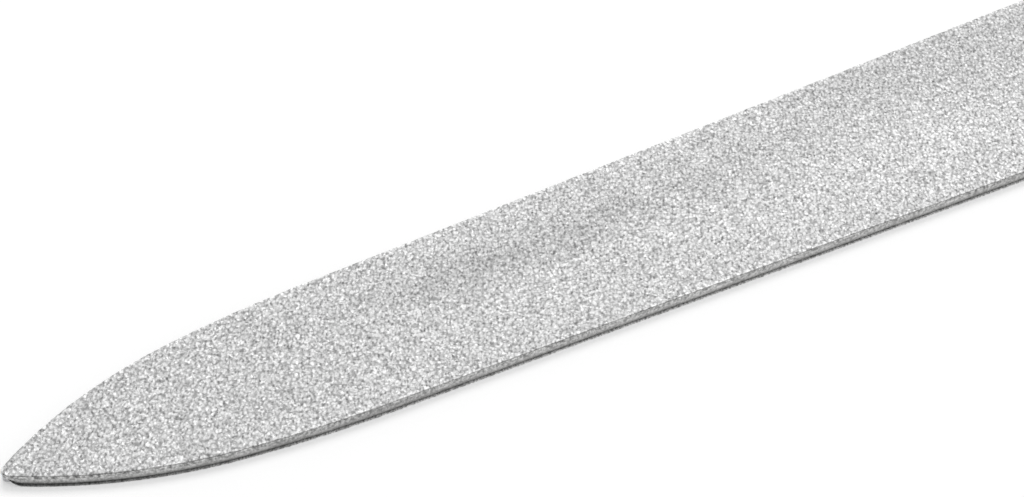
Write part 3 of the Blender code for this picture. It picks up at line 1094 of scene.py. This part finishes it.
class NAILFILE_OT_plated_strip(bpy.types.Operator):
    """Model the nickel wrap with rounded edges and its step up to the tang"""

    bl_idname = "nail_file.plated_strip"
    bl_label = "Plated strip"

    def execute(self, context):
        sizes = context.scene.nail_file_sizes
        low = BLADE_MIDDLE - PLATED_THICKNESS / 2
        high = BLADE_MIDDLE + PLATED_THICKNESS / 2
        strip = flat_solid("plated_strip", blade_side(0.0, STRIP_HIGH.x), low, high)
        for height in (low, high):
            bevel_rim(strip, height, sizes.rim_radius, EDGE_SEGMENTS)
        step_up(strip)
        half = CORE_THICKNESS / 2 + BOND_GAP
        side = blade_side(-PLATING_WALL, STRIP_HIGH.x + PAST)
        cavity = flat_solid("cavity", side, BLADE_MIDDLE - half, BLADE_MIDDLE + half)
        step_up(cavity)
        combine(strip, cavity, "DIFFERENCE")
        lift_point(strip)
        nickel = nickel_material(context.scene.nail_file_finish.nickel)
        finish_piece(strip, STRIP_SMOOTHING, nickel)
        dress(strip, "bright_nickel", "nickel_plating")
        return {"FINISHED"}


class NAILFILE_OT_grit_faces(bpy.types.Operator):
    """Model the coarse coat on the upper face and the fine coat on the lower one"""

    bl_idname = "nail_file.grit_faces"
    bl_label = "Grit faces"

    def execute(self, context):
        sizes = context.scene.nail_file_sizes
        finish = context.scene.nail_file_finish
        thickness = UPPER_COAT_HIGH.z - UPPER_COAT_LOW.z
        upper = make_coat(
            "grit_face_upper",
            UPPER_COAT_HIGH,
            -GRIT_INSET,
            thickness,
            sizes.relief_upper,
            sizes.grain,
            COARSE_SEED,
        )
        places = read_places(upper.data)
        places[:, 2] += UPPER_COAT_LOW.z
        write_places(upper.data, places)
        fold_map(upper, UPPER_COAT_LOW, UPPER_COAT_HIGH)
        grit = (finish.coarse_grit, COARSE_CRYSTAL, UPPER_RIM, True)
        upper.data.materials.append(grit_material("coarse_diamond_grit", *grit))
        dress(upper, "coarse_diamond_grit", "diamond_grit_upper")
        lower = make_coat(
            "grit_face_lower",
            LOWER_COAT_HIGH,
            LOWER_PROUD,
            LOWER_COAT_HIGH.z - sizes.relief_lower - WELD,
            sizes.relief_lower,
            sizes.grain,
            FINE_SEED,
        )
        places = read_places(lower.data) * (1, -1, -1)
        places[:, 2] += LOWER_COAT_HIGH.z
        write_places(lower.data, places)
        lift_point(lower, POINT_PULL)
        fold_map(lower, LOWER_COAT_LOW, LOWER_COAT_HIGH)
        grit = (finish.fine_grit, FINE_CRYSTAL, LOWER_RIM_SHADE_AND_LIGHT, False)
        lower.data.materials.append(grit_material("fine_diamond_grit", *grit))
        dress(lower, "fine_diamond_grit", "diamond_grit_lower")
        return {"FINISHED"}


def corner_centre(radius):
    """The centre of the mouth's rounded corner, seen from above, and the bow's slant there."""
    mouth = float(handle_half_width(0.0))
    slant = math.atan(2 * FRONT_BULGE / mouth)
    x = MOUTH_X + radius * (1 - math.sin(slant)) / math.cos(slant)
    return np.array([x, mouth - radius]), slant


def round_corner(x, y, radius, trim):
    """Pull points that lie outside the mouth's rounded corner onto its arc, less a trim.

    Returns the new places and which points lie in the corner.
    """
    centre, slant = corner_centre(radius)
    away = np.stack([x - centre[0], np.abs(y) - centre[1]])
    reach = np.hypot(*away)
    turn = np.arctan2(-away[0], away[1])
    cornered = (turn >= 0) & (turn <= math.pi / 2 - slant)
    pull = np.where(cornered, np.minimum(1.0, (radius - trim) / np.maximum(reach, WELD)), 1.0)
    return centre[0] + away[0] * pull, np.sign(y) * (centre[1] + away[1] * pull), cornered


def crowned_solid(name, runs, inset, steps, corner=0.0, chamfer=0.0, rest=False):
    """A solid under the crown at the given runs, inset from the handle's outer surface.

    Its end columns and outer rows are the flat floor's edge, and the next ones top the chamfer.
    """
    across, lift = crown_section(steps)
    across = np.concatenate([[-1.0], across, [1.0]])
    lift = np.concatenate([[0.0], lift, [0.0]])
    floor = SEAM_HEIGHT + SEAM_GAP / 2 if rest else SEAM_HEIGHT - PAST
    columns = len(runs) + 2
    rows = len(across) - 1
    body = plain_grid(name, columns, rows)
    places = read_places(body.data)
    column = np.rint((places[:, 0] + 0.5) * columns).astype(int)
    row = np.rint((places[:, 1] + 0.5) * rows).astype(int)
    run = runs[np.clip(column - 2, 0, len(runs) - 1)]
    half = np.maximum(handle_half_width(run) - inset, 0.0)
    height = np.maximum(crown(run) - inset, 0.0)
    side_foot = (row == 0) | (row == rows)
    foot = side_foot | (column == 0) | (column == columns)
    wall = ~foot & ((row == 1) | (row == rows - 1) | (column == 1))
    rise = np.minimum(chamfer, height / 2)
    x = MOUTH_X + run - front_shift(run, across[row])
    y = across[row] * half
    z = np.maximum(SEAM_HEIGHT + lift[row] * height, floor + rise)
    cornered = np.zeros(len(x), bool)
    if corner:
        x, y, cornered = round_corner(x, y, corner, np.where(foot, chamfer, 0.0))
    if rest:
        z = thumb_rest(x, y, z)
    slant = np.arctan2(2 * FRONT_BULGE * across[row], half)
    front_foot = ~cornered & (column == 0)
    x += np.where(front_foot, chamfer * np.cos(slant), 0.0)
    y -= np.where(front_foot, chamfer * np.sin(slant), 0.0)
    side_foot = ~cornered & ~front_foot & side_foot
    y -= np.where(side_foot, np.sign(y) * np.minimum(chamfer, half / 2), 0.0)
    z = np.where(foot, floor, np.where(wall, floor + rise, z))
    write_places(body.data, np.stack([x, y, z], 1))
    weld(body)
    close_rim(body)
    return body


def handle_runs(first, last, count):
    """Runs along the handle, closer together towards both ends."""
    return first + (last - first) * ease(np.linspace(0.0, 1.0, count + 1))


def shell_runs():
    """Runs for the shown crown: close at its rounded front, its thumb rest and its end."""
    start = REST_MIDDLE - MOUTH_X - REST_LENGTH / 2 - RIB_RADIUS
    stop = start + REST_LENGTH + 2 * RIB_RADIUS
    front = FRONT_RUN * (1 - np.cos(np.linspace(0.0, math.pi / 2, FRONT_RUNS)))
    middle = np.arange(FRONT_RUN + PLAIN_PITCH, start, PLAIN_PITCH)
    rest = np.arange(start, stop, REST_PITCH)
    rear = stop + (HANDLE_LENGTH - stop) * np.sin(np.linspace(0.0, math.pi / 2, REAR_RUNS))
    return np.concatenate([front, middle, rest, rear])


class NAILFILE_OT_handle_upper(bpy.types.Operator):
    """Model the crowned upper shell with its ribbed thumb rest, bosses and pins"""

    bl_idname = "nail_file.handle_upper"
    bl_label = "Upper shell"

    def execute(self, context):
        sizes = context.scene.nail_file_sizes
        shell = crowned_solid(
            "handle_upper",
            shell_runs(),
            0.0,
            CROWN_STEPS,
            sizes.mouth_corner,
            sizes.seam_chamfer,
            rest=True,
        )
        hollow_runs = handle_runs(FRONT_BLOCK, HANDLE_LENGTH - REAR_WALL, HOLLOW_RUNS)
        hollow = crowned_solid("hollow", hollow_runs, SHELL_WALL, HOLLOW_STEPS)
        combine(shell, hollow, "DIFFERENCE")
        combine(shell, neck_slot(), "DIFFERENCE")
        combine(shell, tang_pocket(SEAM_HEIGHT - PAST, TANG_TOP + TANG_CLEARANCE), "DIFFERENCE")
        for x in HOLES_X:
            ceiling = SEAM_HEIGHT + float(crown(x - MOUTH_X)) - SHELL_WALL / 2 - REST_DEPTH
            boss = upright_cylinder("boss", BOSS_RADIUS, x, TANG_TOP + TANG_CLEARANCE, ceiling)
            combine(shell, boss, "UNION")
            pin = upright_cylinder("pin", PIN_RADIUS, x, TANG_BOTTOM - PIN_DEPTH, ceiling)
            combine(shell, pin, "UNION")
        plastic = plastic_material(context.scene.nail_file_finish.plastic)
        finish_piece(shell, SHELL_SMOOTHING, plastic)
        dress(shell, "handle_plastic", "handle_upper_shell")
        return {"FINISHED"}


def neck_slot():
    """The opening through both shells' front walls that the plated neck passes through."""
    side = blade_side(TANG_CLEARANCE, NECK_END + TANG_CLEARANCE)
    half = PLATED_THICKNESS / 2 + TANG_CLEARANCE
    slot = flat_solid("neck_slot", side, BLADE_MIDDLE - half, BLADE_MIDDLE + half)
    step_up(slot)
    return slot


def tang_pocket(low, high):
    """The space that the tang lies in, between two heights."""
    start = (NECK_END - PAST / 2, TANG_WIDTH / 2 + TANG_CLEARANCE)
    side = [start] + tang_side(TANG_CLEARANCE, TANG_END)[1:]
    return flat_solid("tang_pocket", side, low, high)


def handle_side(corner):
    """One side of the handle's outline, from the middle of its bowed front to its end."""
    mouth = float(handle_half_width(0.0))
    centre, slant = corner_centre(corner)
    heading = math.pi / 2 - slant
    start = (centre[0] - corner * math.sin(heading), centre[1] + corner * math.cos(heading))
    shares = np.linspace(0.0, start[1] / mouth, BOW_STEPS, endpoint=False)
    points = [(MOUTH_X - float(front_shift(0.0, share)), mouth * share) for share in shares]
    points += [start] + [(x, y) for x, y, _ in arc(*start, corner, heading, 0.0, CORNER_STEPS)]
    runs = HANDLE_LENGTH * np.sin(np.linspace(0.0, math.pi / 2, SIDE_STEPS + 1))
    runs = runs[runs > points[-1][0] - MOUTH_X + corner / 2]
    return points + [(MOUTH_X + run, float(handle_half_width(run))) for run in runs]


class NAILFILE_OT_handle_lower(bpy.types.Operator):
    """Model the flat lower shell with its rounded underside, pocket and sockets"""

    bl_idname = "nail_file.handle_lower"
    bl_label = "Lower shell"

    def execute(self, context):
        sizes = context.scene.nail_file_sizes
        top = SEAM_HEIGHT - SEAM_GAP / 2
        shell = flat_solid("handle_lower", handle_side(sizes.mouth_corner), HANDLE_BOTTOM, top)
        bevel_rim(shell, HANDLE_BOTTOM, UNDERSIDE_RADIUS, UNDERSIDE_SEGMENTS)
        bevel_rim(shell, top, sizes.seam_chamfer, CHAMFER_SEGMENTS)
        combine(shell, neck_slot(), "DIFFERENCE")
        combine(shell, tang_pocket(TANG_BOTTOM - TANG_CLEARANCE, SEAM_HEIGHT + PAST), "DIFFERENCE")
        for x in HOLES_X:
            bottom = TANG_BOTTOM - PIN_DEPTH - PIN_END_GAP
            socket = upright_cylinder(
                "socket", PIN_RADIUS + PIN_CLEARANCE, x, bottom, SEAM_HEIGHT + PAST
            )
            combine(shell, socket, "DIFFERENCE")
        plastic = plastic_material(context.scene.nail_file_finish.plastic)
        finish_piece(shell, SHELL_SMOOTHING, plastic)
        dress(shell, "handle_plastic", "handle_lower_shell")
        return {"FINISHED"}


class NAILFILE_OT_stage(bpy.types.Operator):
    """Set the pale floor, the soft light and the camera"""

    bl_idname = "nail_file.stage"
    bl_label = "Stage"

    def execute(self, context):
        stage = context.scene.nail_file_stage
        add_floor()
        add_room(stage.room_level)
        add_key_light(stage.key_power)
        add_camera(stage)
        context.scene.view_settings.view_transform = "Standard"
        return {"FINISHED"}


def background_rays(tree):
    """1 for rays that see the background directly, in gloss or through glass."""
    path = tree.nodes.new("ShaderNodeLightPath")
    seen = path.outputs["Is Camera Ray"]
    for name in ("Is Glossy Ray", "Is Transmission Ray"):
        either = tree.nodes.new("ShaderNodeMath")
        either.operation = "MAXIMUM"
        tree.links.new(seen, either.inputs[0])
        tree.links.new(path.outputs[name], either.inputs[1])
        seen = either.outputs["Value"]
    return seen


def add_floor():
    """A pale floor that looks white where no shadow falls, also far from the lamp."""
    deselect_all()
    bpy.ops.mesh.primitive_plane_add(size=FLOOR_SIZE)
    floor = bpy.context.object
    floor.name = "floor"
    shader = Shader("pale_floor", FLOOR_COLOUR, *FLOOR_BASE)
    shader.main.inputs["Specular IOR Level"].default_value = 0.0
    shader.main.inputs["Emission Color"].default_value = WHITE
    away = shader.add("ShaderNodeVectorMath", {0: shader.object_place}, operation="LENGTH")
    glow = shader.span(away["Value"], *FLOOR_GLOW)
    lift = shader.product(background_rays(shader.tree), glow)
    shader.feed(shader.main.inputs["Emission Strength"], lift)
    floor.data.materials.append(shader.material)


def add_room(level):
    """Even light from all sides, and a white background."""
    world = bpy.data.worlds.new("room")
    bpy.context.scene.world = world
    world.use_nodes = True
    tree = world.node_tree
    background = tree.nodes["Background"]
    background.inputs["Color"].default_value = WHITE
    mix = tree.nodes.new("ShaderNodeMapRange")
    tree.links.new(background_rays(tree), mix.inputs["Value"])
    mix.inputs["To Min"].default_value = level
    mix.inputs["To Max"].default_value = 1.0
    tree.links.new(mix.outputs["Result"], background.inputs["Strength"])


def add_key_light(power):
    """A large soft light above and behind the file, aimed at it."""
    deselect_all()
    bpy.ops.object.light_add(type="AREA", location=LAMP_PLACE)
    lamp = bpy.context.object
    lamp.name = "key_light"
    lamp.data.shape = "RECTANGLE"
    lamp.data.size, lamp.data.size_y = LAMP_SIZE
    lamp.data.energy = power
    lamp.rotation_euler = (-lamp.location).to_track_quat("-Z", "Y").to_euler()


def add_camera(stage):
    """The photograph's view of the blade."""
    azimuth, elevation = stage.azimuth, stage.elevation
    level = math.cos(elevation)
    back = (math.sin(azimuth) * level, -math.cos(azimuth) * level, math.sin(elevation))
    deselect_all()
    place = np.array(CAMERA_TARGET) + np.array(back) * stage.distance
    bpy.ops.object.camera_add(location=place)
    camera = bpy.context.object
    camera.name = "photograph_camera"
    camera.rotation_euler = (math.pi / 2 - elevation, 0.0, azimuth)
    camera.data.lens = stage.lens
    camera.data.clip_start, camera.data.clip_end = CAMERA_CLIP
    bpy.context.scene.camera = camera


class NAILFILE_PT_panel(bpy.types.Panel):
    """Lists the file's sizes, finishes and pieces"""

    bl_idname = "NAILFILE_PT_panel"
    bl_label = "Nail file"
    bl_space_type = "VIEW_3D"
    bl_region_type = "UI"
    bl_category = "Nail file"

    def draw(self, context):
        layout = self.layout
        for group in (
            context.scene.nail_file_sizes,
            context.scene.nail_file_finish,
            context.scene.nail_file_stage,
        ):
            box = layout.box()
            for name in group.bl_rna.properties.keys():
                if name not in ("rna_type", "name"):
                    box.prop(group, name)
        for operator in OPERATORS:
            layout.operator(operator.bl_idname)


OPERATORS = (
    NAILFILE_OT_steel_core,
    NAILFILE_OT_plated_strip,
    NAILFILE_OT_grit_faces,
    NAILFILE_OT_handle_upper,
    NAILFILE_OT_handle_lower,
    NAILFILE_OT_stage,
)
GROUPS = {
    "nail_file_sizes": NailFileSizes,
    "nail_file_finish": NailFileFinish,
    "nail_file_stage": NailFileStage,
}


def register():
    for item in (*GROUPS.values(), *OPERATORS, NAILFILE_PT_panel):
        bpy.utils.register_class(item)
    for name, group in GROUPS.items():
        setattr(bpy.types.Scene, name, bpy.props.PointerProperty(type=group))


def unregister():
    for name in GROUPS:
        delattr(bpy.types.Scene, name)
    for item in reversed((*GROUPS.values(), *OPERATORS, NAILFILE_PT_panel)):
        bpy.utils.unregister_class(item)


def main():
    register()
    bpy.ops.nail_file.steel_core()
    bpy.ops.nail_file.plated_strip()
    bpy.ops.nail_file.grit_faces()
    bpy.ops.nail_file.handle_upper()
    bpy.ops.nail_file.handle_lower()
    bpy.ops.nail_file.stage()


if __name__ == "__main__":
    main()
